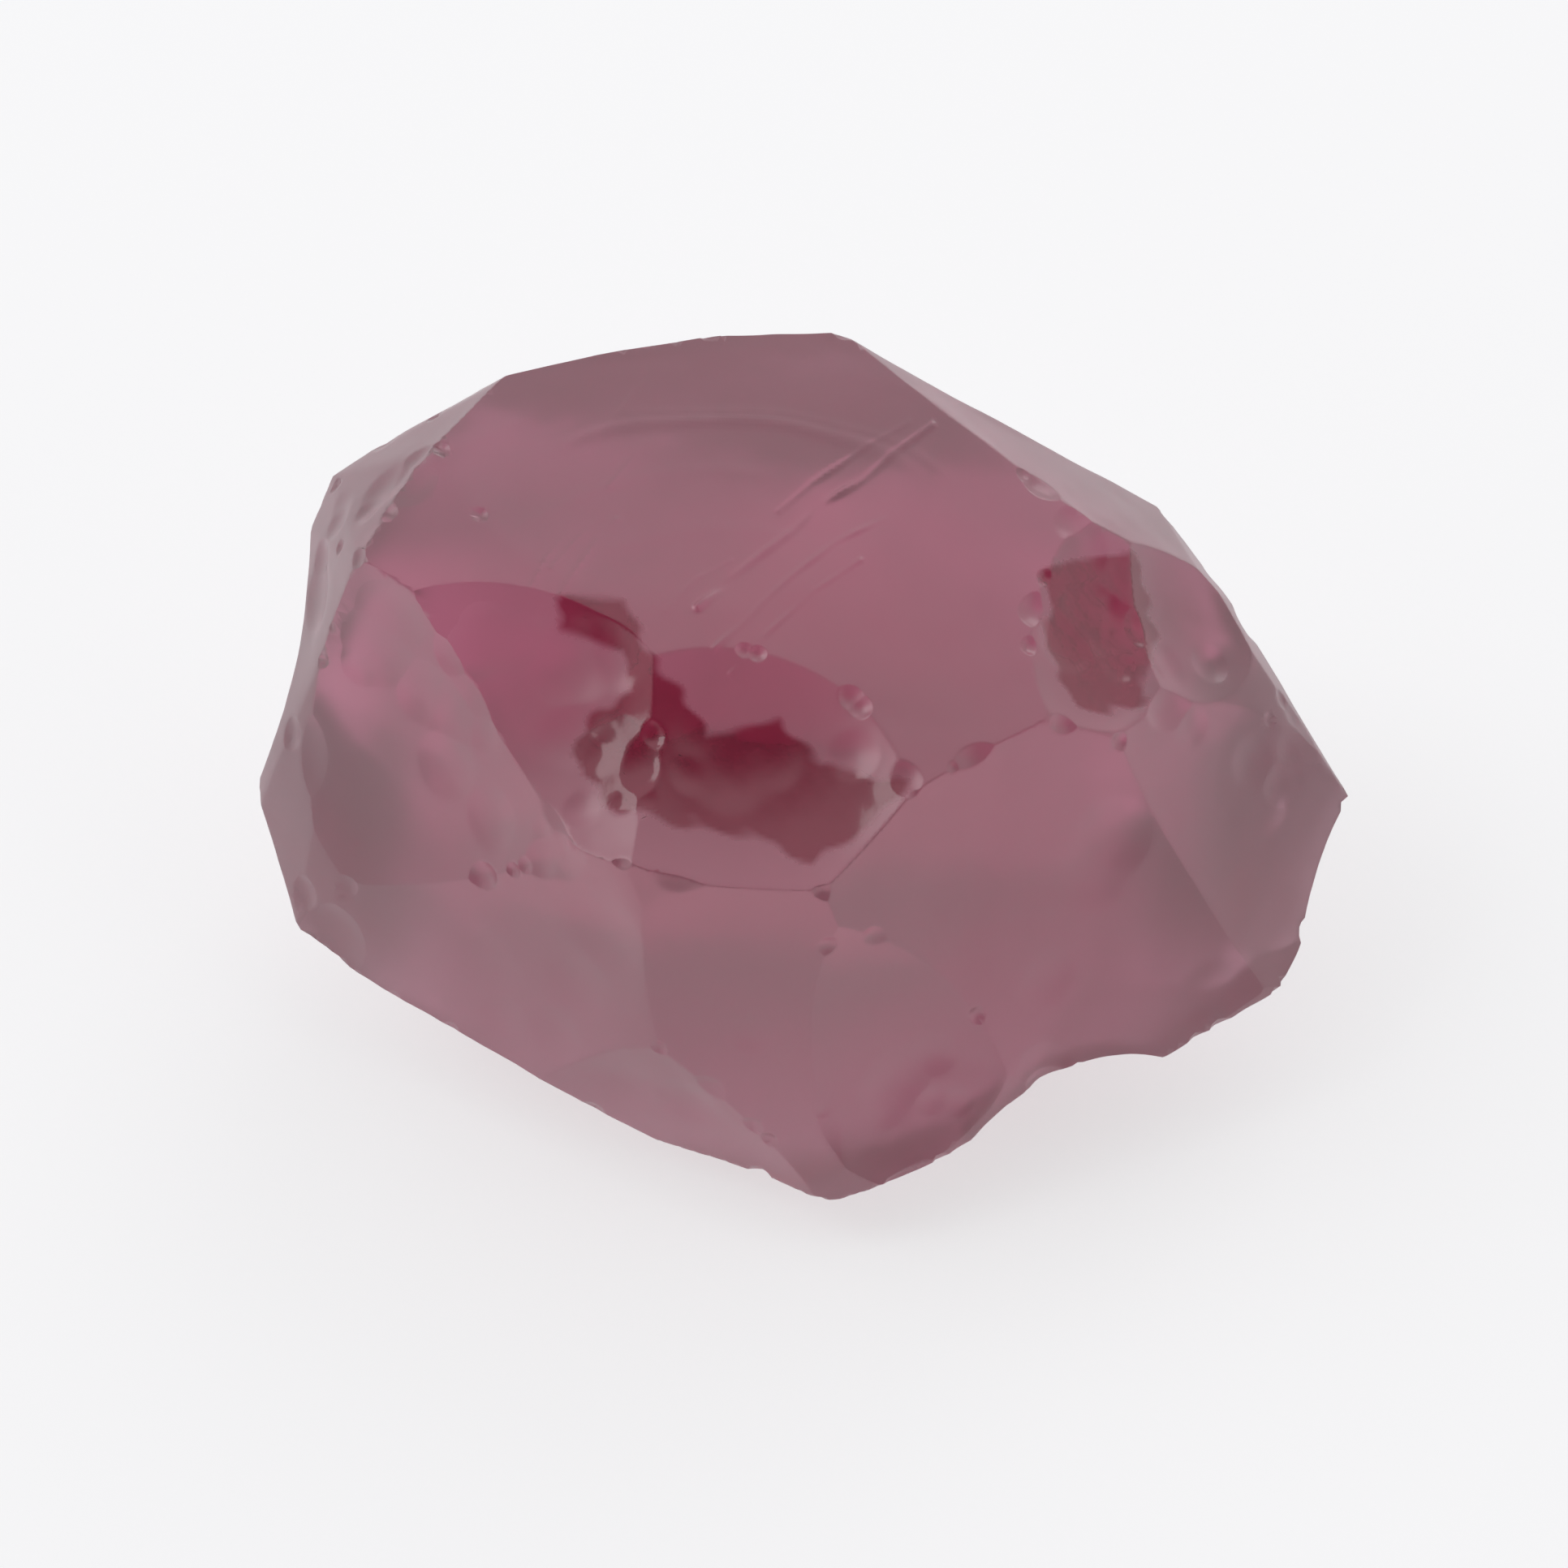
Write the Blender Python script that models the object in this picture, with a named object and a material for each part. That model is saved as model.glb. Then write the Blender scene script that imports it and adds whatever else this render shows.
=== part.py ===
# Rough rhodolite garnet, one broken crystal about 13 mm across, lying on its flat underside.
# X runs to the right, Y to the back and Z up, with the resting plane at Z = 0.
# The stone is one convex block between named corners, hollowed by the shell-shaped breaks of its faces.
import bmesh
import bpy
from mathutils import Vector

MM = 0.001

# A point well inside the stone, from which every break and chip faces outwards, in mm.
HEART = (0.0, 0.0, 3.0)

# Corners of the sloping top face and of the lip along its front, in mm.
TOP_CORNERS = {
    "back_right": (0.40, 3.70, 6.70),
    "back_middle": (-1.05, 3.65, 6.75),
    "back_left": (-3.45, 2.95, 6.75),
    "left_back": (-4.40, 1.80, 6.55),
    "left": (-5.10, 0.40, 6.25),
    "lip_left": (-2.20, -2.75, 5.40),
    "lip_right": (0.10, -3.25, 5.15),
    "crest_right": (2.80, -1.35, 5.45),
    "ridge_right": (3.40, 1.25, 6.00),
}
# Corners of the shoulders between the top face and the girdle, in mm.
SHOULDER_CORNERS = {
    "shoulder_back": (-3.75, 3.20, 6.30),
    "shoulder_left": (-5.65, 2.75, 5.20),
    "shoulder_low": (-5.90, 2.15, 4.90),
    "strip_middle": (2.20, 3.45, 5.60),
    "strip_end": (4.35, 2.80, 4.60),
    "ridge_end": (4.85, 1.20, 4.90),
    "ridge_foot": (5.20, 1.60, 4.20),
    "brow": (3.75, -1.10, 4.90),
    "rib": (4.70, -2.50, 2.70),
    "knee": (-1.80, -3.25, 4.30),
}
# Corners of the girdle, the widest line round the stone, in mm.
GIRDLE_CORNERS = {
    "side_left": (-6.60, 0.25, 2.45),
    "side_front": (-6.65, -0.10, 2.10),
    "left_corner": (-6.10, -1.35, 1.60),
    "left_toe": (-5.65, -1.70, 1.40),
    "front_edge_left": (-2.75, -3.35, 0.90),
    "front_edge": (-1.15, -4.42, 0.78),
    "tip": (0.35, -4.70, 0.60),
    "tip_right": (0.95, -4.60, 0.80),
    "front_right_toe": (4.35, -3.05, 1.30),
    "right_toe": (5.62, -2.35, 1.50),
    "right_corner": (6.60, -1.35, 1.95),
    "right_point": (6.68, 0.00, 2.40),
    "right_back": (4.80, 2.40, 1.80),
    "back_shelf_right": (4.00, 4.00, 3.40),
    "back_shelf": (0.60, 4.70, 4.40),
    "back_shelf_left": (-4.20, 4.00, 4.20),
    "back_foot": (0.30, 4.30, 1.60),
    "left_back_low": (-5.40, 2.60, 2.40),
}
# Corners of the flat face that the stone rests on, in mm from the middle, at Z = 0.
REST_CORNERS = (
    (-4.10, -0.80),
    (-2.40, -2.80),
    (0.00, -3.60),
    (2.20, -2.40),
    (3.00, 0.00),
    (1.80, 2.00),
    (-1.40, 2.60),
    (-3.60, 1.20),
)
# Shell-shaped breaks: three points of the rim of each dish and the radius of the ball that it follows, in mm.
BREAKS = {
    "front_right": ((0.15, -3.25, 5.10), (3.20, -1.25, 5.25), (4.35, -3.05, 1.30), 14.0),
    "right": ((3.75, -1.10, 4.85), (4.70, -2.35, 2.50), (6.68, 0.00, 2.40), 12.0),
    "left_bay": ((-5.90, 2.15, 4.90), (-6.60, 0.25, 2.45), (-5.40, 2.60, 2.40), 3.2),
    "left_low": ((-5.65, -1.70, 1.40), (-3.35, -3.00, 1.25), (-1.85, -3.25, 4.25), 15.0),
    "left": ((-5.10, 0.40, 6.20), (-2.25, -2.75, 5.35), (-3.15, -2.35, 4.00), 8.0),
    "notch": ((2.00, -3.85, 1.00), (3.45, -2.85, 1.30), (2.40, -2.30, 0.00), 2.2),
    "front": ((-1.80, -3.25, 4.25), (0.05, -3.25, 5.10), (0.40, -4.65, 0.80), 14.0),
    "belly": ((-1.75, -3.70, 2.15), (-2.85, -3.30, 0.95), (0.00, -4.55, 0.75), 9.0),
    "window_left": ((-2.80, 0.00, 6.05), (-1.25, -1.40, 5.65), (-2.15, -2.90, 4.80), 4.5),
    "window_right": ((-1.75, -1.05, 5.60), (1.25, -2.20, 5.35), (-0.50, -3.25, 4.70), 5.0),
    "pocket": ((3.75, 0.50, 5.45), (5.25, 0.30, 4.10), (3.90, -0.05, 5.15), 3.0),
    "brow_scar": ((2.95, 0.70, 5.90), (2.80, -1.20, 5.50), (3.90, 0.45, 5.15), 3.5),
    "tip_face": ((0.20, -4.15, 1.85), (2.35, -3.75, 1.65), (0.95, -4.60, 0.80), 5.0),
    "back": ((-1.80, 4.50, 3.90), (2.20, 4.35, 3.80), (0.30, 4.35, 1.70), 7.0),
    "under_left": ((-5.60, 1.90, 2.20), (-5.30, -1.20, 1.20), (-3.20, 1.60, 0.15), 9.0),
    "under_right": ((5.30, -1.60, 1.30), (5.20, 2.20, 2.00), (2.90, 0.80, 0.15), 8.0),
    "top": ((1.55, 2.40, 6.35), (-1.20, -0.05, 5.95), (-4.05, 2.25, 6.60), 26.0),
}
# Small chips out of the edges: a point on the edge, the radius of the bite and how deep it goes, in mm.
CHIPS = {
    "lip": (-0.60, -3.30, 4.65, 0.70, 0.14),
    "lip_knee": (-1.80, -3.15, 4.55, 0.55, 0.12),
    "crest": (1.70, -2.10, 5.32, 0.80, 0.12),
    "left_crest": (-4.25, -0.45, 6.05, 0.80, 0.18),
    "shoulder": (-5.60, 2.65, 5.20, 0.70, 0.20),
    "back_rim": (-2.20, 3.35, 6.75, 0.90, 0.14),
    "ridge": (4.15, 1.20, 5.45, 0.60, 0.14),
    "ridge_end": (4.95, 1.35, 4.75, 0.60, 0.20),
    "right_point": (6.60, -0.10, 2.40, 0.80, 0.16),
    "right_corner": (6.00, -1.60, 1.80, 0.90, 0.14),
    "front_right_toe": (4.55, -2.90, 1.35, 0.70, 0.16),
    "tip": (0.60, -4.65, 0.70, 0.50, 0.14),
    "front_edge": (-2.00, -3.80, 0.88, 0.80, 0.12),
    "left_toe": (-5.80, -1.55, 1.50, 0.70, 0.16),
    "side": (-6.60, 0.10, 2.30, 0.60, 0.14),
    "back_shelf": (-1.80, 4.40, 4.25, 1.00, 0.20),
}

# The longest facet edge wanted on a dish, in mm, and the finest division used for its ball.
FACET_EDGE = 0.55
FINEST_BALL = 6
# Edge length of an icosphere of division 1, as a share of its radius.
ICO_EDGE = 1.05
# Facets that meet at more than this angle keep a sharp edge, in radians.
SHARP_ANGLE = 0.25

GARNET_COLOR = (0.42, 0.07, 0.17, 1.0)
GARNET_ROUGHNESS = 0.06
GARNET_IOR = 1.76


def clear_scene():
    for obj in list(bpy.data.objects):
        bpy.data.objects.remove(obj, do_unlink=True)


def link(name, bm):
    """Turns the bmesh into a named object of the scene."""
    mesh = bpy.data.meshes.new(name)
    bm.to_mesh(mesh)
    bm.free()
    obj = bpy.data.objects.new(name, mesh)
    bpy.context.scene.collection.objects.link(obj)
    return obj


def block(name, corners):
    """The convex block spanned by the corners, which are in mm."""
    bm = bmesh.new()
    for corner in corners:
        bm.verts.new(Vector(corner) * MM)
    hull = bmesh.ops.convex_hull(bm, input=bm.verts)
    inside = {v for v in hull["geom_interior"] + hull["geom_unused"] if isinstance(v, bmesh.types.BMVert)}
    bmesh.ops.delete(bm, geom=list(inside), context="VERTS")
    bmesh.ops.dissolve_limit(bm, angle_limit=0.001, verts=bm.verts, edges=bm.edges)
    bmesh.ops.recalc_face_normals(bm, faces=bm.faces)
    return link(name, bm)


def dish_centre(first, second, third, radius):
    """The centre of the ball through three rim points, on the side away from the heart, in mm."""
    a, b, c = Vector(first), Vector(second), Vector(third)
    ab, ac = b - a, c - a
    across = ab.cross(ac)
    offset = (across.cross(ab) * ac.length_squared + ac.cross(across) * ab.length_squared) / (
        2 * across.length_squared
    )
    outwards = across.normalized()
    if outwards.dot(a - Vector(HEART)) < 0:
        outwards = -outwards
    return a + offset + outwards * (radius**2 - offset.length_squared) ** 0.5


def chip_centre(x, y, z, radius, depth):
    """The centre of a ball that bites into the edge at x, y, z by the depth, in mm."""
    edge = Vector((x, y, z))
    return edge + (edge - Vector(HEART)).normalized() * (radius - depth)


def ball(name, centre, radius):
    """A hidden ball to cut with, divided finely enough for the facets it leaves. Centre and radius are in mm."""
    division = 1
    while division < FINEST_BALL and ICO_EDGE * radius / 2 ** (division - 1) > FACET_EDGE:
        division += 1
    bm = bmesh.new()
    bmesh.ops.create_icosphere(bm, subdivisions=division, radius=radius * MM)
    bmesh.ops.translate(bm, vec=Vector(centre) * MM, verts=bm.verts)
    obj = link(name, bm)
    obj.hide_render = True
    obj.display_type = "WIRE"
    return obj


def cut_with(obj, cutter):
    """Takes the cutter out of the object with an exact Boolean difference."""
    modifier = obj.modifiers.new(cutter.name, "BOOLEAN")
    modifier.operation = "DIFFERENCE"
    modifier.solver = "EXACT"
    modifier.object = cutter


def garnet_material():
    material = bpy.data.materials.new("Rhodolite garnet")
    material.use_nodes = True
    shader = material.node_tree.nodes["Principled BSDF"]
    shader.inputs["Base Color"].default_value = GARNET_COLOR
    shader.inputs["Roughness"].default_value = GARNET_ROUGHNESS
    shader.inputs["IOR"].default_value = GARNET_IOR
    shader.inputs["Transmission Weight"].default_value = 1.0
    return material


clear_scene()

rest = [(x, y, 0.0) for x, y in REST_CORNERS]
outer = [*TOP_CORNERS.values(), *SHOULDER_CORNERS.values(), *GIRDLE_CORNERS.values()]
garnet = block("garnet", outer + rest)

for name, (*rim, radius) in BREAKS.items():
    cut_with(garnet, ball("break_" + name, dish_centre(*rim, radius), radius))
for name, (x, y, z, radius, depth) in CHIPS.items():
    cut_with(garnet, ball("chip_" + name, chip_centre(x, y, z, radius, depth), radius))

garnet.data.materials.append(garnet_material())
garnet.data.shade_smooth()
garnet.data.set_sharp_from_angle(angle=SHARP_ANGLE)
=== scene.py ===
# %% [markdown]
# # A rough rhodolite garnet
# One broken crystal, about 13 mm across. Rhodolite lets light through, so most of what the eye sees is not its
# surface but what lies behind it: the pale floor through a few millimetres of pink stone, or wine-dark depths
# where the light is turned back inside. The shape of each face matters twice, once for its gloss and once for
# what it shows.

# %% The frame
import itertools
import math

import bpy
import numpy as np
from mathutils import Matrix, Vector


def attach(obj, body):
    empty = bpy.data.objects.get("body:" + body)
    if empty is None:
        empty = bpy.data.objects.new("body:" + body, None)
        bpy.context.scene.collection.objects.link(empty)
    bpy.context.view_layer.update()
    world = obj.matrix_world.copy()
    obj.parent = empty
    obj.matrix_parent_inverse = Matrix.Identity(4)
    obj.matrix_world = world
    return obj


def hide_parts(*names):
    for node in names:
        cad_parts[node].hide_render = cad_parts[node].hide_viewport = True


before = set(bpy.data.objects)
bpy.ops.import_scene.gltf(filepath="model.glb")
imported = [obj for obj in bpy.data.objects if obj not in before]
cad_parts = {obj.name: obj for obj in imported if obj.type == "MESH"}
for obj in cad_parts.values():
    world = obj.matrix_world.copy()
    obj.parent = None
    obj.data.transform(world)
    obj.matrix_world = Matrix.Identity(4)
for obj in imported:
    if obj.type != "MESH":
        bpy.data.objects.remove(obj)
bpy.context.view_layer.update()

MM = 0.001

# %% [markdown]
# ## The camera
# The photograph looks down at the stone by fifty degrees, from close by and with a long lens. The aim is a
# point inside the stone, and the distance follows from the width of the picture at the stone. The same numbers
# turn a pixel of the photograph into a ray, which is how marks are placed on the stone later.

# %% Camera
CAMERA_RISE = math.radians(50.0)
LENS_MM = 100.0
SENSOR_MM = 36.0
PICTURE_WIDTH_MM = 18.58
FRAME_PX = 1932
AIM_MM = np.array([-0.2, -0.6, 3.4])

camera_distance = PICTURE_WIDTH_MM * LENS_MM / SENSOR_MM
camera_side = np.array([0.0, -math.cos(CAMERA_RISE), math.sin(CAMERA_RISE)])
camera_up = np.array([0.0, math.sin(CAMERA_RISE), math.cos(CAMERA_RISE)])
camera_data = bpy.data.cameras.new("camera")
camera_data.lens = LENS_MM
camera_data.sensor_width = SENSOR_MM
camera_data.clip_start = MM
camera = bpy.data.objects.new("camera", camera_data)
camera.location = (AIM_MM + camera_side * camera_distance) * MM
camera.rotation_euler = (math.pi / 2 - CAMERA_RISE, 0.0, 0.0)
bpy.context.scene.collection.objects.link(camera)
bpy.context.scene.camera = camera
print("camera distance in mm:", round(camera_distance, 1))

# %% [markdown]
# ## The block and its breaks
# A garnet has no cleavage: it breaks in shell-shaped dishes, as glass does. So the stone is one convex block
# between named corners, and each dish is a large ball that takes a shallow bite out of it. Planes and balls can
# be asked how far they are from a point inside along any direction, so the whole skin is one formula. The
# corners and dishes are those of the CAD model, in mm.

# %% Corners of the block
HEART = np.array([0.0, 0.0, 3.0])
TOP_CORNERS = [
    (0.40, 3.70, 6.70),
    (-1.05, 3.65, 6.75),
    (-3.45, 2.95, 6.75),
    (-4.40, 1.80, 6.55),
    (-5.10, 0.40, 6.25),
    (-2.20, -2.75, 5.40),
    (0.10, -3.25, 5.15),
    (2.80, -1.35, 5.45),
    (3.40, 1.25, 6.00),
]
SHOULDER_CORNERS = [
    (-3.75, 3.20, 6.30),
    (-5.65, 2.75, 5.20),
    (-5.90, 2.15, 4.90),
    (2.20, 3.45, 5.60),
    (4.35, 2.80, 4.60),
    (4.85, 1.20, 4.90),
    (5.20, 1.60, 4.20),
    (3.75, -1.10, 4.90),
    (4.70, -2.50, 2.70),
    (-1.80, -3.25, 4.30),
]
GIRDLE_CORNERS = [
    (-6.60, 0.25, 2.45),
    (-6.65, -0.10, 2.10),
    (-6.10, -1.35, 1.60),
    (-5.65, -1.70, 1.40),
    (-2.75, -3.35, 0.90),
    (-1.15, -4.42, 0.78),
    (0.35, -4.70, 0.60),
    (0.95, -4.60, 0.80),
    (4.35, -3.05, 1.30),
    (5.62, -2.35, 1.50),
    (6.60, -1.35, 1.95),
    (6.68, 0.00, 2.40),
    (4.80, 2.40, 1.80),
    (4.00, 4.00, 3.40),
    (0.60, 4.70, 4.40),
    (-4.20, 4.00, 4.20),
    (0.30, 4.30, 1.60),
    (-5.40, 2.60, 2.40),
]
REST_CORNERS = [
    (-4.10, -0.80, 0.0),
    (-2.40, -2.80, 0.0),
    (0.00, -3.60, 0.0),
    (2.20, -2.40, 0.0),
    (3.00, 0.00, 0.0),
    (1.80, 2.00, 0.0),
    (-1.40, 2.60, 0.0),
    (-3.60, 1.20, 0.0),
]


def faces_between(corners):
    """The planes through three corners that have every other corner behind them, as normals and distances."""
    points = np.array(corners)
    triples = zip(*itertools.combinations(range(len(points)), 3))
    first, second, third = (points[list(column)] for column in triples)
    normal = np.cross(second - first, third - first)
    length = np.linalg.norm(normal, axis=1)
    wide = length > 1e-9
    normal, first = normal[wide] / length[wide, None], first[wide]
    distance = (normal * first).sum(axis=1)
    height = normal @ points.T - distance[:, None]
    outward, inward = height.max(axis=1) < 1e-3, height.min(axis=1) > -1e-3
    planes = np.vstack([np.c_[normal[outward], distance[outward]], -np.c_[normal[inward], distance[inward]]])
    planes = np.unique(np.round(planes, 4), axis=0)
    return planes[:, :3], planes[:, 3]


plane_normals, plane_distances = faces_between(TOP_CORNERS + SHOULDER_CORNERS + GIRDLE_CORNERS + REST_CORNERS)
PLANES = len(plane_distances)
print("faces of the block:", PLANES)

# %% Breaks
BREAKS = {
    "front_right": ((0.15, -3.25, 5.10), (3.20, -1.25, 5.25), (4.35, -3.05, 1.30), 14.0),
    "right": ((3.75, -1.10, 4.85), (4.70, -2.35, 2.50), (6.68, 0.00, 2.40), 12.0),
    "left_bay": ((-5.90, 2.15, 4.90), (-6.60, 0.25, 2.45), (-5.40, 2.60, 2.40), 3.2),
    "left_low": ((-5.65, -1.70, 1.40), (-3.35, -3.00, 1.25), (-1.85, -3.25, 4.25), 15.0),
    "left": ((-5.10, 0.40, 6.20), (-2.25, -2.75, 5.35), (-3.15, -2.35, 4.00), 8.0),
    "notch": ((2.00, -3.85, 1.00), (3.45, -2.85, 1.30), (2.40, -2.30, 0.00), 2.2),
    "front": ((-1.80, -3.25, 4.25), (0.05, -3.25, 5.10), (0.40, -4.65, 0.80), 14.0),
    "belly": ((-1.75, -3.70, 2.15), (-2.85, -3.30, 0.95), (0.00, -4.55, 0.75), 9.0),
    "window_left": ((-2.80, 0.00, 6.05), (-1.25, -1.40, 5.65), (-2.15, -2.90, 4.80), 4.5),
    "window_right": ((-1.75, -1.05, 5.60), (1.25, -2.20, 5.35), (-0.50, -3.25, 4.70), 5.0),
    "pocket": ((3.75, 0.50, 5.45), (5.25, 0.30, 4.10), (3.90, -0.05, 5.15), 3.0),
    "brow_scar": ((2.95, 0.70, 5.90), (2.80, -1.20, 5.50), (3.90, 0.45, 5.15), 3.5),
    "tip_face": ((0.20, -4.15, 1.85), (2.35, -3.75, 1.65), (0.95, -4.60, 0.80), 5.0),
    "back": ((-1.80, 4.50, 3.90), (2.20, 4.35, 3.80), (0.30, 4.35, 1.70), 7.0),
    "under_left": ((-5.60, 1.90, 2.20), (-5.30, -1.20, 1.20), (-3.20, 1.60, 0.15), 9.0),
    "under_right": ((5.30, -1.60, 1.30), (5.20, 2.20, 2.00), (2.90, 0.80, 0.15), 8.0),
    "top": ((1.55, 2.40, 6.35), (-1.20, -0.05, 5.95), (-4.05, 2.25, 6.60), 26.0),
}


def ball_of(first, second, third, radius):
    """Centre of the ball through three rim points, on the side away from the heart, and its radius."""
    a, b, c = np.array(first), np.array(second), np.array(third)
    ab, ac = b - a, c - a
    across = np.cross(ab, ac)
    offset = (np.cross(across, ab) * (ac @ ac) + np.cross(ac, across) * (ab @ ab)) / (2 * across @ across)
    outwards = across / np.linalg.norm(across)
    outwards *= np.sign(outwards @ (a - HEART))
    return [*(a + offset + outwards * math.sqrt(radius**2 - offset @ offset)), radius]


balls = np.array([ball_of(*rim_and_radius) for rim_and_radius in BREAKS.values()])
print("breaks:", len(balls))

# %% [markdown]
# ## Waves on every face
# No face of a broken stone is a true plane or ball. Each carries long waves from the way that the crack ran and
# short ones where it hurried. Sums of sine waves in seeded directions give both, and repeat exactly from run to
# run. They are stronger underneath, where the light is broken up before it reaches the eye.

# %% Waves
SEED = 1877


def waves(points, wavelength, seed, count=12):
    """Sum of sines in random directions, each with a wavelength near the one asked, scaled to about -1 to 1."""
    source = np.random.default_rng(SEED + seed)
    way = source.normal(size=(count, 3))
    way /= np.linalg.norm(way, axis=1, keepdims=True)
    way *= (2 * math.pi / (wavelength * source.uniform(0.7, 1.5, count)))[:, None]
    phase = source.uniform(0.0, 2 * math.pi, count)
    return np.sin(points @ way.T + phase).sum(axis=-1) / math.sqrt(count)


def ramp(values, low, high):
    """0 below low, 1 above high, and a smooth rise between."""
    share = np.clip((values - low) / (high - low), 0.0, 1.0)
    return share * share * (3.0 - 2.0 * share)


def unit(vectors):
    """Vectors scaled to length one."""
    return vectors / np.linalg.norm(vectors, axis=-1, keepdims=True)


def relief(points):
    """How deep the skin lies under its plane or ball, in mm, from long and short waves; none where it rests."""
    under = ramp(-points[..., 2], -2.4, -0.8) * ramp(points[..., 1], -3.4, -2.2)
    long_waves = (0.014 + 0.020 * under) * waves(points, 2.4, 1)
    short_waves = (0.0025 + 0.009 * under) * waves(points, 0.8, 2)
    return (long_waves + short_waves + 0.02) * ramp(points[..., 2], 0.0, 0.12)


# %% [markdown]
# ## The skin
# A cube blown up to a sphere gives six square grids of directions with no poles. Along each direction the skin
# is where the first plane or ball stops the way out. Points near an edge between two faces are moved onto it,
# so that edges stay crisp and do not turn into a row of teeth. Corner normals are worked out from the formula
# and not from the triangles, so a sliver on an edge never shows.

# %% Skin function
GRID = 129
NEAREST = 4
EDGE_SOFTNESS_MM = 0.008
CHUNK = 40000
FAR_MM = 1000.0
fine_details = []


def with_balls(balls):
    """The planes and these balls as one table of faces, seen from the heart: vectors, sizes and which are balls."""
    room = plane_distances - plane_normals @ HEART
    vectors = np.vstack([plane_normals, balls[:, :3] - HEART])
    return vectors, np.r_[room, balls[:, 3]], np.arange(PLANES + len(balls)) >= PLANES


face_vectors, face_sizes, face_is_ball = with_balls(balls)


def cube_sphere(count):
    """Six square grids of unit directions, count by count each, evenly spaced in angle."""
    steps = np.tan(np.linspace(-math.pi / 4, math.pi / 4, count))
    a, b = np.meshgrid(steps, steps, indexing="ij")
    one = np.ones_like(a)
    sides = [(one, a, b), (-one, b, a), (b, one, a), (a, -one, b), (a, b, one), (b, a, -one)]
    return unit(np.stack([np.stack(side, axis=-1) for side in sides]))


def ways_out(along, vectors, sizes, is_ball):
    """Distances from the heart to planes (normal, distance) or balls (centre, radius) along directions.

    A plane is reached at its room over the slope, and a ball at the nearer root of its quadratic. The first
    value, along, is the product of each direction with each normal or centre taken from the heart.
    """
    plane = sizes / np.maximum(along, 1e-6)
    under_root = along**2 - (vectors**2).sum(axis=-1) + sizes**2
    ball = along - np.sqrt(np.maximum(under_root, 0.0))
    hit = np.where(is_ball, (under_root > 0) & (ball > 0), along > 1e-6)
    return np.where(hit, np.where(is_ball, ball, plane), FAR_MM)


def faces_near(directions):
    """Numbers of the few nearest faces along each direction."""
    along = directions @ face_vectors.T
    distances = ways_out(along, face_vectors, face_sizes, face_is_ball)
    return np.argpartition(distances, NEAREST, axis=-1)[:, :NEAREST]


def reach_to(directions, faces):
    """Distances along the directions to these faces, with the relief taken off."""
    vectors = face_vectors[faces]
    along = np.einsum("ni,nfi->nf", directions, vectors)
    reach = ways_out(along, vectors, face_sizes[faces], face_is_ball[faces])
    depth = relief(HEART + directions * np.minimum(reach.min(axis=-1), 12.0)[:, None])
    return reach - depth[:, None]


def radius_to(directions, faces, detailed=True):
    """Distance from the heart to the skin: the nearest face, with edges eased, less the fine details."""
    reach = reach_to(directions, faces)
    least = reach.min(axis=-1)
    eased = np.exp((least[:, None] - reach) / EDGE_SOFTNESS_MM).sum(axis=-1)
    radius = least - EDGE_SOFTNESS_MM * np.log(eased)
    if detailed:
        points = HEART + directions * radius[:, None]
        radius = radius - sum((detail(points) for detail in fine_details), np.zeros(len(points)))
    return radius


def in_chunks(work, items):
    """Runs the work on a few tens of thousands of rows at a time, which keeps the arrays small."""
    return np.concatenate([work(items[start : start + CHUNK]) for start in range(0, len(items), CHUNK)])


def skin_points(directions, depth=0.0, detailed=True):
    """The points of the skin along the directions, or a given depth under it, in mm."""
    radius = in_chunks(lambda ways: radius_to(ways, faces_near(ways), detailed), directions)
    return HEART + directions * (radius - depth)[:, None]


def tangents(directions):
    """Two unit vectors square to each direction and to each other."""
    pole = np.where(np.abs(directions[:, 2:]) < 0.8, [[0.0, 0.0, 1.0]], [[1.0, 0.0, 0.0]])
    east = unit(np.cross(pole, directions))
    return east, np.cross(directions, east)


def skin_normals(directions, step=4e-4, detailed=True):
    """Outward normals of the skin, from three of its points a small angle apart."""
    faces = faces_near(directions)
    east, north = tangents(directions)
    ways = (directions, unit(directions + step * east), unit(directions + step * north))
    here, to_east, to_north = (way * radius_to(way, faces, detailed)[:, None] for way in ways)
    return unit(np.cross(to_east - here, to_north - here))


def mean_normals(directions, ring=0.02):
    """Mean of four normals of the bare skin a small angle away, which halves the angle between faces at an edge."""
    ways = [side * way for way in tangents(directions) for side in (1.0, -1.0)]
    return unit(sum(skin_normals(unit(directions + ring * way), detailed=False) for way in ways))


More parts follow.
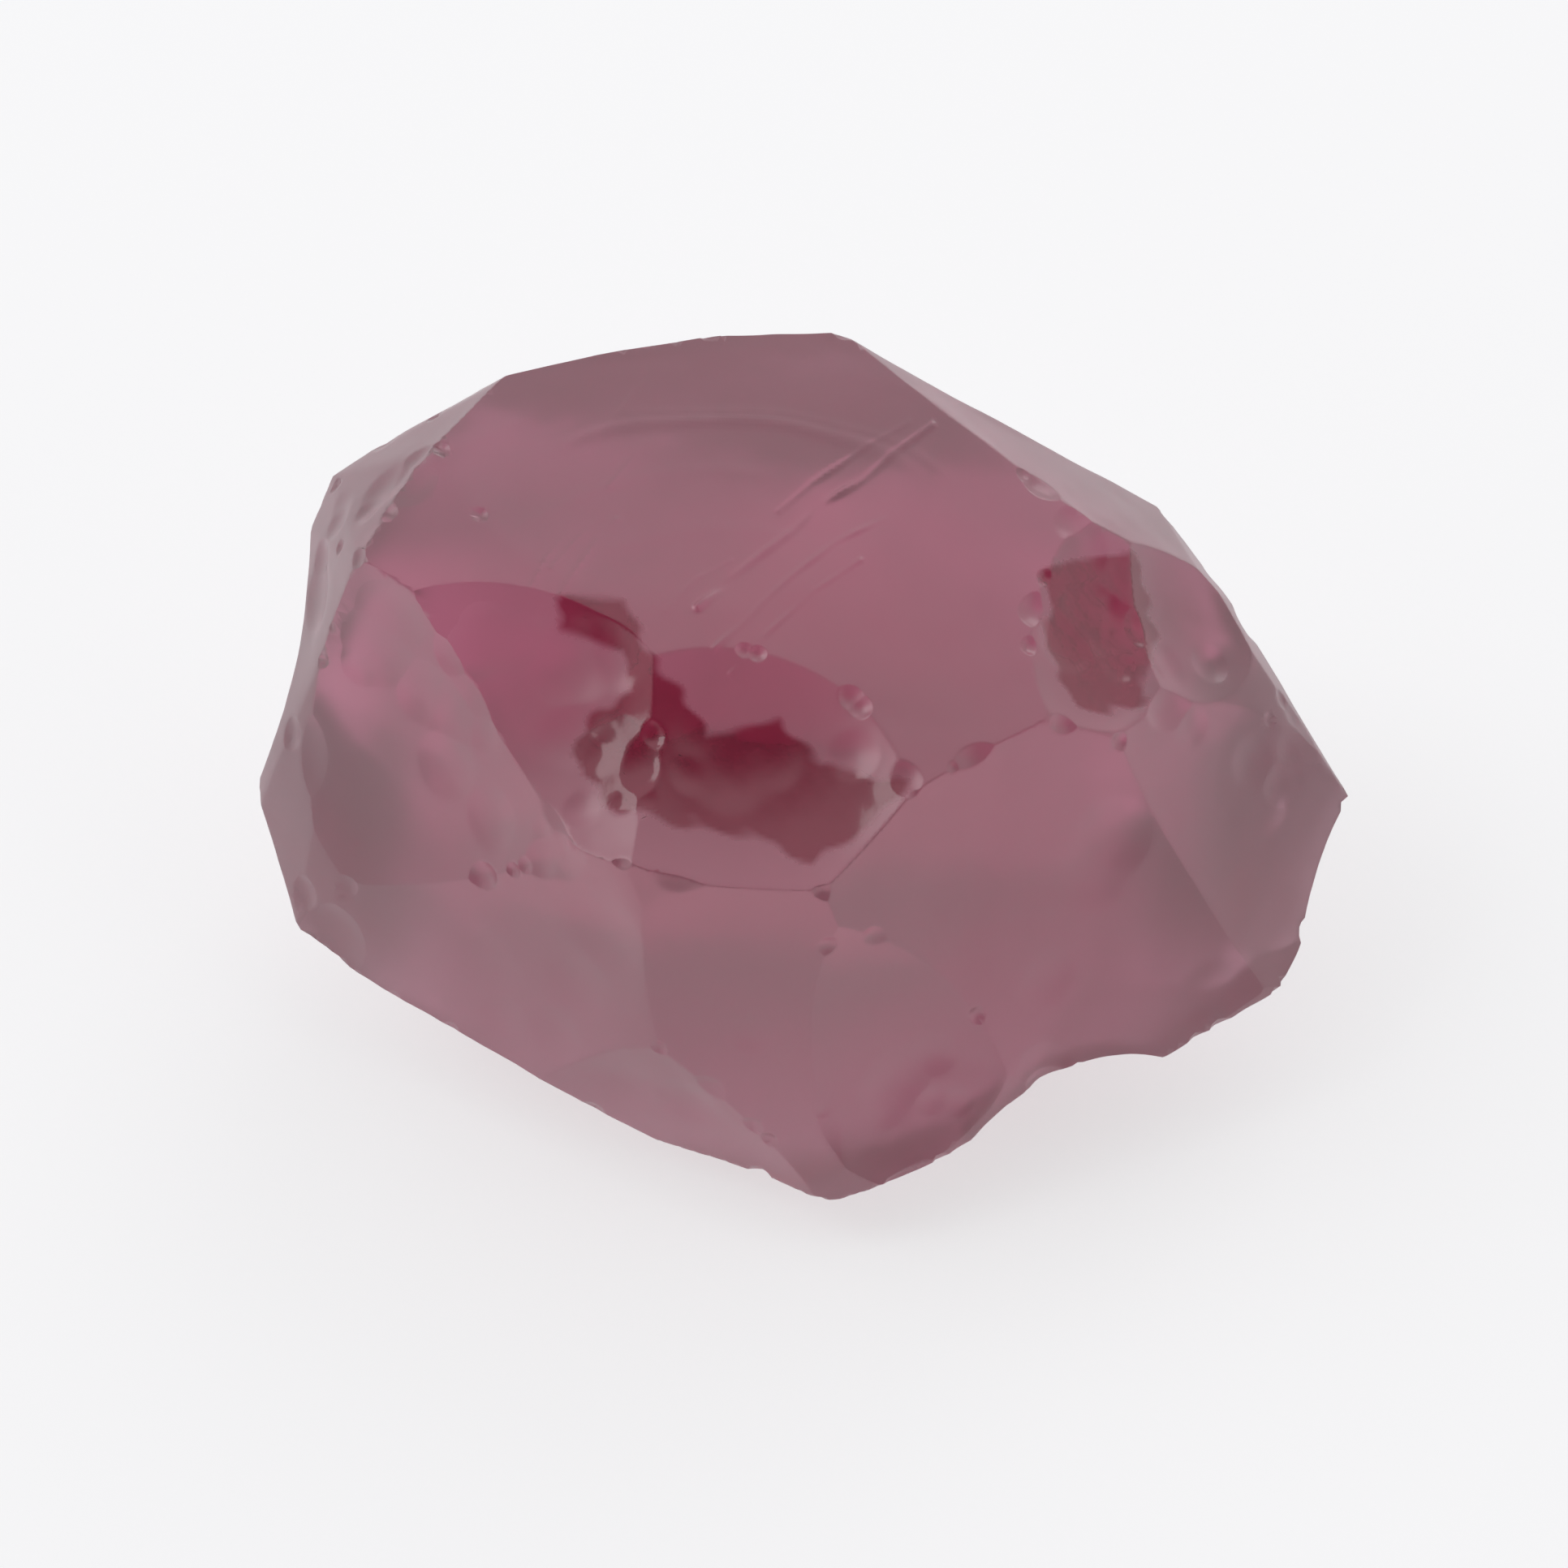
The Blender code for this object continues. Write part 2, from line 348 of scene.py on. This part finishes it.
def pull_to_edges(start, pitch, rounds=2):
    """Moves directions by up to half a grid step, to where the two or three nearest faces are equally near."""
    moved = start.copy()
    step = 1e-4
    for _ in range(rounds):
        faces = faces_near(moved)
        reach = reach_to(moved, faces)
        order = np.argsort(reach, axis=-1)[..., :3]
        faces = np.take_along_axis(faces, order, axis=-1)
        reach = np.take_along_axis(reach, order, axis=-1)
        east, north = tangents(moved)
        east_slope = (reach_to(unit(moved + step * east), faces) - reach) / step
        north_slope = (reach_to(unit(moved + step * north), faces) - reach) / step
        gap = reach[:, 1:] - reach[:, :1]
        east_slope = east_slope[:, 1:] - east_slope[:, :1]
        north_slope = north_slope[:, 1:] - north_slope[:, :1]
        steepness = east_slope[:, 0] ** 2 + north_slope[:, 0] ** 2 + 1e-12
        to_edge = -(gap[:, 0] / steepness)[:, None] * (east * east_slope[:, :1] + north * north_slope[:, :1])
        crossing = east_slope[:, 0] * north_slope[:, 1] - east_slope[:, 1] * north_slope[:, 0]
        crossing = np.where(np.abs(crossing) < 1e-9, 1e9, crossing)
        corner_east = (gap[:, 1] * north_slope[:, 0] - gap[:, 0] * north_slope[:, 1]) / crossing
        corner_north = (gap[:, 0] * east_slope[:, 1] - gap[:, 1] * east_slope[:, 0]) / crossing
        at_edge = unit(moved + to_edge)
        at_corner = unit(moved + east * corner_east[:, None] + north * corner_north[:, None])
        edge_near = np.linalg.norm(at_edge - start, axis=1) < 0.50 * pitch
        corner_near = np.linalg.norm(at_corner - start, axis=1) < 0.45 * pitch
        moved = np.where(corner_near[:, None], at_corner, np.where(edge_near[:, None], at_edge, moved))
    return moved


grid_pitch = math.pi / 2 / (GRID - 1)
plain_directions = cube_sphere(GRID).reshape(-1, 3)
print("directions:", len(plain_directions))

# %% [markdown]
# ## Chips along the edges
# The edges of rough are bruised: every few tenths of a millimetre a crumb has flown off. Points that lie on a
# sharp edge of the bare block are found first, and a seeded choice of them gets a small ball that bites a
# little way into the edge.

# %% Edge chips
CHIP_COUNT = 170
SHARP_SLOPE = 0.35


def edge_sharpness(directions):
    """How steeply the gap between the two nearest faces opens where it is under 0.01 mm, and 0 elsewhere."""
    faces = faces_near(directions)
    faces = np.take_along_axis(faces, np.argsort(reach_to(directions, faces), axis=-1)[:, :2], axis=-1)
    gap = np.diff(reach_to(directions, faces), axis=-1)[:, 0]
    step = 1e-3
    slopes = [
        (np.diff(reach_to(unit(directions + step * way), faces), axis=-1)[:, 0] - gap) / step
        for way in tangents(directions)
    ]
    return np.hypot(*slopes) / np.linalg.norm(directions, axis=1) / 4.0 * (np.abs(gap) < 0.01)


def bites(directions, radii, depths):
    """Balls that bite into the skin where the directions meet it, each square to the skin and by its depth."""
    places = skin_points(directions, detailed=False)
    return np.c_[places + mean_normals(directions) * (radii - depths)[:, None], radii]


random = np.random.default_rng(SEED)
on_edges = plain_directions[in_chunks(edge_sharpness, plain_directions) > SHARP_SLOPE]
chosen = on_edges[random.choice(len(on_edges), CHIP_COUNT, replace=False)]
chip_radii = 0.14 * (0.60 / 0.14) ** random.uniform(0.0, 1.0, CHIP_COUNT) ** 1.5
chip_depths = 0.015 + 0.12 * chip_radii * random.uniform(0.3, 1.0, CHIP_COUNT)
chips = bites(chosen, chip_radii, chip_depths)
balls = np.vstack([balls, chips[chips[:, 2] > 0.35]])
face_vectors, face_sizes, face_is_ball = with_balls(balls)
print("edge chips:", len(balls) - len(BREAKS))

# %% [markdown]
# ## From the photograph to the stone
# Marks on the stone are placed by pixels of the photograph. A ray from the camera through the pixel is followed
# to where it first meets the skin, so a mark always sits on the stone, from whatever side it is seen.

# %% Points by pixel
def on_stone(pixels):
    """Where the rays through pixels of the photograph first meet the skin, in mm."""
    pixels = np.atleast_2d(np.array(pixels, float))
    across = (pixels[:, :1] / FRAME_PX - 0.5) * SENSOR_MM / LENS_MM
    upwards = (0.5 - pixels[:, 1:] / FRAME_PX) * SENSOR_MM / LENS_MM
    rays = unit(across * np.array([1.0, 0.0, 0.0]) + upwards * camera_up - camera_side)
    travel = camera_distance + np.linspace(-8.0, 8.0, 161)
    path = AIM_MM + camera_side * camera_distance + rays[:, None] * travel[:, None]
    outwards = path - HEART
    distance = np.linalg.norm(outwards, axis=-1)
    surface = skin_points((outwards / distance[..., None]).reshape(-1, 3), detailed=False) - HEART
    inside = np.linalg.norm(surface, axis=-1).reshape(distance.shape) - distance
    first = np.argmax(inside > 0, axis=1)
    missed = pixels[first == 0]
    if len(missed):
        raise ValueError(f"these pixels miss the stone: {missed.tolist()}")
    rows = np.arange(len(pixels))
    before, after = inside[rows, first - 1], inside[rows, first]
    share = (before / (before - after))[:, None]
    return path[rows, first - 1] * (1 - share) + path[rows, first] * share


def distance_to_line(points, line):
    """Shortest distance in mm from each point to a line of straight pieces."""
    best = np.full(len(points), 1e9)
    for start, end in zip(line[:-1], line[1:]):
        span = end - start
        share = np.clip((points - start) @ span / (span @ span), 0.0, 1.0)
        best = np.minimum(best, np.linalg.norm(points - start - share[:, None] * span, axis=1))
    return best


def inside_outline(points, outline, thickness=0.9):
    """Distance in mm inside a closed outline, seen square to its own plane, and negative outside it."""
    middle = outline.mean(axis=0)
    normal = np.linalg.svd(outline - middle)[2][2]
    first = unit(outline[0] - middle - ((outline[0] - middle) @ normal) * normal)
    plane = np.stack([first, np.cross(normal, first)], axis=1)
    spots, corners = (points - middle) @ plane, (outline - middle) @ plane
    distance = np.full(len(spots), 1e9)
    crossings = np.zeros(len(spots), int)
    for start, end in zip(corners, np.roll(corners, -1, axis=0)):
        span = end - start
        share = np.clip((spots - start) @ span / (span @ span), 0.0, 1.0)
        distance = np.minimum(distance, np.linalg.norm(spots - start - share[:, None] * span, axis=1))
        level = (start[1] > spots[:, 1]) != (end[1] > spots[:, 1])
        rise = np.where(abs(span[1]) < 1e-12, 1e-12, span[1])
        crossings += level & (spots[:, 0] < start[0] + (spots[:, 1] - start[1]) / rise * span[0])
    signed = np.where(crossings % 2 == 1, distance, -distance)
    return np.where(np.abs((points - middle) @ normal) < thickness, signed, -1e3)


STRIKE_PIXEL = (880, 900)
strike_point = on_stone(STRIKE_PIXEL)[0]
print("strike point in mm:", strike_point.round(2))

# %% [markdown]
# ## Ripples and hackles on the top face
# The crack that made the top face started at its front. It left ribs in arcs about that point, as waves do in
# glass, and hackles: bundles of fine steps that run along with the crack. Each rib is a narrow swelling on a
# sphere about the strike point, and each hackle a narrow swelling along a line.

# %% Ripples and hackles
RIBS = [
    # radius mm, width mm, height mm, first and last angle in degrees from straight back
    (2.55, 0.10, 0.006, -30.0, 25.0),
    (3.35, 0.09, 0.008, -45.0, 10.0),
    (4.05, 0.10, 0.026, -28.0, 34.0),
    (4.22, 0.07, 0.010, -20.0, 40.0),
    (4.62, 0.11, 0.020, -52.0, -30.0),
    (5.05, 0.10, 0.008, -20.0, 30.0),
]
HACKLES = [
    # height mm, width mm, pixels of the photograph
    (0.030, 0.050, [(1148, 524), (1100, 560), (1062, 592), (1010, 622), (975, 655), (930, 690), (860, 748)]),
    (0.016, 0.040, [(1120, 520), (1060, 556), (1000, 596), (960, 630)]),
    (0.018, 0.040, [(1088, 640), (1030, 668), (980, 706), (930, 752), (880, 800)]),
    (0.014, 0.035, [(1060, 690), (1000, 730), (950, 776), (900, 830)]),
    (0.010, 0.035, [(900, 690), (860, 712), (820, 752)]),
    (0.014, 0.035, [(760, 640), (735, 668), (712, 700), (690, 735)]),
    (0.010, 0.030, [(735, 640), (705, 672), (680, 700)]),
    (0.010, 0.030, [(700, 655), (672, 690), (655, 725)]),
    (0.016, 0.040, [(790, 470), (772, 500), (748, 530), (720, 560)]),
    (0.012, 0.040, [(795, 545), (775, 572), (752, 600)]),
]


def ribs(points):
    """Sum of narrow swellings on spheres about the strike point, each within its own span of angles."""
    away = points - strike_point
    distance = np.linalg.norm(away, axis=1) + 0.05 * waves(points, 1.3, 11)
    angle = np.degrees(np.arctan2(away[:, 0], away[:, 1]))
    on_top = ramp(points[:, 2], 5.4, 5.6)
    swell = np.zeros(len(points))
    for radius, width, height, first, last in RIBS:
        within = ramp(angle, first - 6.0, first + 6.0) * ramp(-angle, -last - 6.0, -last + 6.0)
        swell += height * within * np.exp(-(((distance - radius) / width) ** 2))
    return -swell * on_top


hackle_lines = [(height, width, on_stone(pixels)) for height, width, pixels in HACKLES]


def hackles(points):
    """Sum of narrow swellings along lines; their height wavers along the way."""
    waver = 0.7 + 0.5 * waves(points, 0.5, 12)
    swell = np.zeros(len(points))
    for height, width, line in hackle_lines:
        swell += height * np.exp(-((distance_to_line(points, line) / width) ** 2))
    return -swell * waver


fine_details += [ribs, hackles]
print("ribs and hackles:", len(RIBS), len(HACKLES))

# %% [markdown]
# ## Torn places
# Where the crack changed its mind, small flakes have come away: round the window above the lip, along the left
# side and by the pocket at the right. Each flake leaves a shallow dish, so a seeded handful of wide balls with
# shallow bites, one over the other, makes such a place.

# %% Flake scars
TORN_PLACES = [
    # middle pixel, reach mm, number of flakes, widest ball mm, deepest bite mm
    ((930, 1000), 0.9, 8, 2.6, 0.030),
    ((560, 850), 1.3, 22, 2.0, 0.040),
    ((700, 1030), 0.8, 12, 1.4, 0.035),
    ((1370, 790), 0.8, 14, 1.5, 0.035),
    ((1570, 920), 0.8, 9, 2.0, 0.025),
    ((1130, 1390), 0.7, 12, 1.4, 0.025),
    ((850, 1370), 1.3, 9, 3.2, 0.020),
    ((460, 620), 0.7, 8, 1.6, 0.030),
    ((1450, 1200), 1.2, 7, 3.4, 0.018),
    ((640, 1180), 1.2, 7, 3.4, 0.018),
]
torn_middles = on_stone([place[0] for place in TORN_PLACES])
scars = []
for middle, (pixel, reach, count, widest, deepest) in zip(torn_middles, TORN_PLACES):
    spots = unit(middle + random.normal(size=(count, 3)) * reach / 1.7 - HEART)
    size = random.uniform(0.35, 1.0, count)
    scars.append(bites(spots, widest * size, deepest * random.uniform(0.4, 1.0, count)))
balls = np.vstack([balls, *scars])
face_vectors, face_sizes, face_is_ball = with_balls(balls)
print("flake scars:", sum(len(group) for group in scars))

# %% [markdown]
# ## Grain
# Under a lens even a glassy break is a little uneven. Waves a few tenths of a millimetre long and a micron or
# two high break up the gloss, and they are stronger low down, where the stone has been rubbed.


# %% Grain
def grain(points):
    """Fine waves of a few microns all over, coarser towards the bottom edge."""
    return (0.0010 + 0.0012 * ramp(-points[:, 2], -3.0, -1.0)) * waves(points, 0.30, 13)


fine_details += [grain]
print("fine details:", len(fine_details))

# %% [markdown]
# ## The mesh of the stone
# The six grids of directions become points of the skin, and each small square of four points becomes two
# triangles. The grids share their borders, so points that agree are joined and the stone is one closed skin.
# It stands for the garnet of the CAD model, which stays behind it for collision.


# %% Stone mesh
def grid_quads(sheets, rows, columns):
    """Corner numbers of the quads of several square grids of points."""
    number = np.arange(sheets * rows * columns).reshape(sheets, rows, columns)
    corners = (number[:, :-1, :-1], number[:, 1:, :-1], number[:, 1:, 1:], number[:, :-1, 1:])
    return np.stack(corners, axis=-1).reshape(-1, 4)


def better_diagonals(points, quads):
    """Splits each quad along the diagonal whose middle lies nearer the true skin."""

    def miss(first, second):
        middle = (points[quads[:, first]] + points[quads[:, second]]) / 2 - HEART
        length = np.linalg.norm(middle, axis=1)
        true_length = np.linalg.norm(skin_points(middle / length[:, None], detailed=False) - HEART, axis=1)
        return np.abs(true_length - length)

    straight = miss(0, 2) <= miss(1, 3)
    a, b = quads[straight], quads[~straight]
    return np.vstack([a[:, [0, 1, 2]], a[:, [0, 2, 3]], b[:, [0, 1, 3]], b[:, [1, 2, 3]]])


def welded(points, faces, tolerance):
    """Joins points that agree within the tolerance and drops triangles that close up to nothing."""
    keys = np.round(points / tolerance)
    first, merged = np.unique(keys, axis=0, return_index=True, return_inverse=True)[1:]
    faces = merged.reshape(-1)[faces]
    whole = (faces[:, 0] != faces[:, 1]) & (faces[:, 1] != faces[:, 2]) & (faces[:, 2] != faces[:, 0])
    return points[first], faces[whole]


def new_piece(name, points_mm, faces, material=None):
    """A smooth mesh object at the origin from points in mm and faces as corner numbers, riding on the stone."""
    mesh = bpy.data.meshes.new(name)
    mesh.from_pydata((points_mm * MM).tolist(), [], faces.tolist())
    mesh.validate()
    mesh.shade_smooth()
    piece = bpy.data.objects.new(name, mesh)
    bpy.context.scene.collection.objects.link(piece)
    if material:
        mesh.materials.append(material)
    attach(piece, "root")
    return piece


directions = in_chunks(lambda ways: pull_to_edges(ways, grid_pitch), plain_directions)
points = skin_points(directions)
triangles = better_diagonals(skin_points(directions, detailed=False), grid_quads(6, GRID, GRID))
points, triangles = welded(points, triangles, 0.0015)
stone = new_piece("garnet_stone", points, triangles)
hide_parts("garnet")
print("stone triangles:", len(stone.data.polygons))

# %% [markdown]
# ## Corner normals
# Smooth shading would smear the light over a sharp edge, and flat shading would show every triangle. So each
# corner of a triangle takes the normal of the skin a third of the way towards the triangle's middle, and the
# two sides of a sharp edge keep their own.

# %% Corner normals
CORNER_LEAN = 0.35
stone_points = np.empty(len(stone.data.vertices) * 3, np.float32)
stone.data.vertices.foreach_get("co", stone_points)
stone_points = stone_points.reshape(-1, 3).astype(float) / MM
corner_numbers = np.empty(len(stone.data.loops), np.int32)
stone.data.loops.foreach_get("vertex_index", corner_numbers)
corners = stone_points[corner_numbers].reshape(-1, 3, 3)
leaning = corners + CORNER_LEAN * (corners.mean(axis=1, keepdims=True) - corners)
corner_normals = in_chunks(skin_normals, unit(leaning.reshape(-1, 3) - HEART))
stone.data.normals_split_custom_set(corner_normals.tolist())
print("corner normals:", len(corner_normals))

# %% [markdown]
# ## Patches of painted shade and frost
# Held to the light, the stone is not one colour. Some faces are frosted and milky, others clean, and the
# wine-dark depth where light is turned back inside is painted shade here: two zones are painted a deeper red.
# Each patch is an outline on the skin with a deeper red, which tints the light that goes through, and a frost,
# which is the roughness there. Two attributes carry them to the material.

# %% Tint, painted shade and frost
PLAIN_TINT = "#EBC3D0"
PLAIN_FROST = 0.30


def linear(hex_code):
    """An sRGB hex colour as linear red, green, blue and alpha."""
    channels = [int(hex_code[i : i + 2], 16) / 255 for i in (1, 3, 5)]
    return [c / 12.92 if c <= 0.04045 else ((c + 0.055) / 1.055) ** 2.4 for c in channels] + [1.0]


# The window above the lip: its deeper red is painted shade, standing for the wine-dark depth where light is turned
# back inside.
WINDOW_PAINTED_SHADE = [(690, 735), (770, 738), (792, 800), (835, 850), (872, 905), (960, 888), (1012, 940), (1120, 962),
          (1060, 1030), (1000, 1062), (930, 1030), (860, 1015), (760, 1000), (705, 930), (720, 890), (775, 850),
          (770, 800), (690, 775)]
PAINTED_SHADE_PATCHES = [
    # painted-shade colour, frost, softness mm, wobble mm, outline in pixels
    ("#A83A5C", 0.10, 0.05, 0.04, WINDOW_PAINTED_SHADE),
    # The facet at the upper right: its deeper red is painted shade for its wine-dark depth.
    ("#B04A66", 0.14, 0.05, 0.06, [(1290, 690), (1400, 680), (1425, 780), (1400, 880), (1330, 870), (1290, 800)]),
]

tint_and_painted_shade = np.tile(linear(PLAIN_TINT), (len(stone_points), 1))
underside = ramp(-stone_points[:, 2], -1.6, -0.4) * ramp(stone_points[:, 1], -3.6, -2.6)
behind = ramp(stone_points[:, 1], 2.8, 3.6) * ramp(-stone_points[:, 2], -6.2, -5.6)
frost = PLAIN_FROST + 0.50 * underside + 0.25 * behind * (1 - underside)
# Each patch blends its deeper red, which is painted shade, into the plain colour of the stone.
for hex_code, patch_frost, softness, wobble, pixels in PAINTED_SHADE_PATCHES:
    edge = inside_outline(stone_points, on_stone(pixels)) + wobble * waves(stone_points, 0.35, 31)
    share = ramp(edge, -softness, softness)
    tint_and_painted_shade += share[:, None] * (np.array(linear(hex_code)) - tint_and_painted_shade)
    frost += share * (patch_frost - frost)
tint_and_shade_attribute = stone.data.attributes.new("tint_and_painted_shade", "FLOAT_COLOR", "POINT")
tint_and_shade_attribute.data.foreach_set("color", tint_and_painted_shade.astype(np.float32).ravel())
frost_attribute = stone.data.attributes.new("frost", "FLOAT", "POINT")
frost_attribute.data.foreach_set("value", frost.astype(np.float32))
print("patches:", len(PAINTED_SHADE_PATCHES))


# %% [markdown]
# ## Garnet
# Rhodolite bends light strongly, with an IOR of 1.76, and swallows green most, blue less and red least. The
# colour therefore deepens with the way through the stone, from rose at the thin edges to wine in the middle,
# and it is given as absorption per millimetre.

# %% Garnet material
def add(tree, kind, settings=None, **inputs):
    """Adds a node, sets its properties and inputs, and links an input that is given as a socket."""
    node = tree.nodes.new(kind)
    for key, value in (settings or {}).items():
        setattr(node, key, value)
    for key, value in inputs.items():
        numbered = key[0] == "i" and key[1:].isdigit()
        socket = node.inputs[int(key[1:])] if numbered else node.inputs[key.replace("_", " ")]
        if isinstance(value, bpy.types.NodeSocket):
            tree.links.new(value, socket)
        else:
            socket.default_value = value
    return node


ABSORPTION_PER_MM = np.array([0.105, 0.38, 0.255])
PER_MM = 1.0 / MM

garnet = bpy.data.materials.new("rhodolite_garnet_broken")
garnet.use_nodes = True
tree = garnet.node_tree
shader = tree.nodes["Principled BSDF"]
shader.inputs["IOR"].default_value = 1.76
shader.inputs["Transmission Weight"].default_value = 0.80
place = add(tree, "ShaderNodeTexCoord").outputs["Object"]
tint_and_shade_node = add(tree, "ShaderNodeAttribute", {"attribute_name": "tint_and_painted_shade"})
frost_node = add(tree, "ShaderNodeAttribute", {"attribute_name": "frost"})
# Base colour: the plain colour of the stone, with the painted shade of the patches blended in.
tree.links.new(tint_and_shade_node.outputs["Color"], shader.inputs["Base Color"])
tree.links.new(frost_node.outputs["Fac"], shader.inputs["Roughness"])
pits = add(tree, "ShaderNodeTexNoise", Vector=place, Scale=PER_MM / 0.12, Detail=3.0, Roughness=0.6)
bump = add(tree, "ShaderNodeBump", Height=pits.outputs[0], Strength=0.25, Distance=0.004 * MM)
tree.links.new(bump.outputs[0], shader.inputs["Normal"])
per_metre = ABSORPTION_PER_MM / MM
density = per_metre.max() * 1.02
absorption = add(tree, "ShaderNodeVolumeAbsorption", Color=[*(1 - per_metre / density), 1.0], Density=density)
tree.links.new(absorption.outputs[0], tree.nodes["Material Output"].inputs["Volume"])
stone.data.materials.append(garnet)
print("absorption per mm:", ABSORPTION_PER_MM.tolist())

# %% [markdown]
# ## Floor
# A see-through stone takes much of its brightness from what it lies on. The floor is plain and pale, and gives
# off a little light of its own, which stands in for the bright sheet of the photograph and keeps the shadow
# faint.

# %% Floor
FLOOR_DROP_MM = 0.03
FLOOR_HALF_MM = 1500.0
corner_signs = np.array([(-1, -1), (1, -1), (1, 1), (-1, 1)])
floor_points = np.c_[corner_signs * FLOOR_HALF_MM, np.full(4, -FLOOR_DROP_MM)] * MM
floor_mesh = bpy.data.meshes.new("floor")
floor_mesh.from_pydata(floor_points.tolist(), [], [(0, 1, 2, 3)])
floor = bpy.data.objects.new("floor", floor_mesh)
bpy.context.scene.collection.objects.link(floor)
sheet = bpy.data.materials.new("pale_floor")
sheet.use_nodes = True
sheet_shader = sheet.node_tree.nodes["Principled BSDF"]
sheet_shader.inputs["Base Color"].default_value = linear("#BFBFC2")
sheet_shader.inputs["Roughness"].default_value = 0.7
sheet_shader.inputs["Specular IOR Level"].default_value = 0.1
sheet_shader.inputs["Emission Color"].default_value = linear("#FFFFFF")
sheet_shader.inputs["Emission Strength"].default_value = 0.58
floor_mesh.materials.append(sheet)
print("floor half width in mm:", FLOOR_HALF_MM)

# %% [markdown]
# ## Light
# The light is soft and comes from all round, less so from behind the camera, as when a person leans over the
# stone. That darker side is what the faces turned to the viewer mirror, so they look clean and deep. Two large
# soft boxes at the left and the back lay a gentle gloss on the top face and the strip beside it.

# %% Light
world = bpy.data.worlds.new("studio")
bpy.context.scene.world = world
world.use_nodes = True
sky = world.node_tree
background = sky.nodes["Background"]
way = add(sky, "ShaderNodeTexCoord")
toward = add(
    sky, "ShaderNodeVectorMath", {"operation": "DOT_PRODUCT"}, i0=way.outputs["Generated"], i1=tuple(camera_side)
)
shade = add(
    sky, "ShaderNodeMapRange", {"interpolation_type": "SMOOTHSTEP"},
    Value=toward.outputs["Value"], From_Min=0.55, From_Max=0.95, To_Min=0.72, To_Max=0.10,
)
sky.links.new(shade.outputs[0], background.inputs["Strength"])
background.inputs["Color"].default_value = linear("#FFFFFF")


def softbox(name, place_mm, size_mm, radiance):
    """A square area light aimed at the stone. Its power follows from its size and brightness."""
    data = bpy.data.lights.new(name, "AREA")
    data.size = size_mm * MM
    data.energy = radiance * math.pi * (size_mm * MM) ** 2
    light = bpy.data.objects.new(name, data)
    light.location = Vector(place_mm) * MM
    light.rotation_euler = (Vector(AIM_MM.tolist()) * MM - light.location).to_track_quat("-Z", "Y").to_euler()
    bpy.context.scene.collection.objects.link(light)


softbox("softbox_left", (-350.0, 100.0, 300.0), 300.0, 1.3)
softbox("softbox_back", (150.0, 380.0, 260.0), 260.0, 1.2)

scene = bpy.context.scene
scene.view_settings.view_transform = "Standard"
scene.cycles.use_denoising = True
scene.cycles.max_bounces = 24
scene.cycles.transmission_bounces = 24
scene.cycles.glossy_bounces = 12
print("light bounces:", scene.cycles.max_bounces)
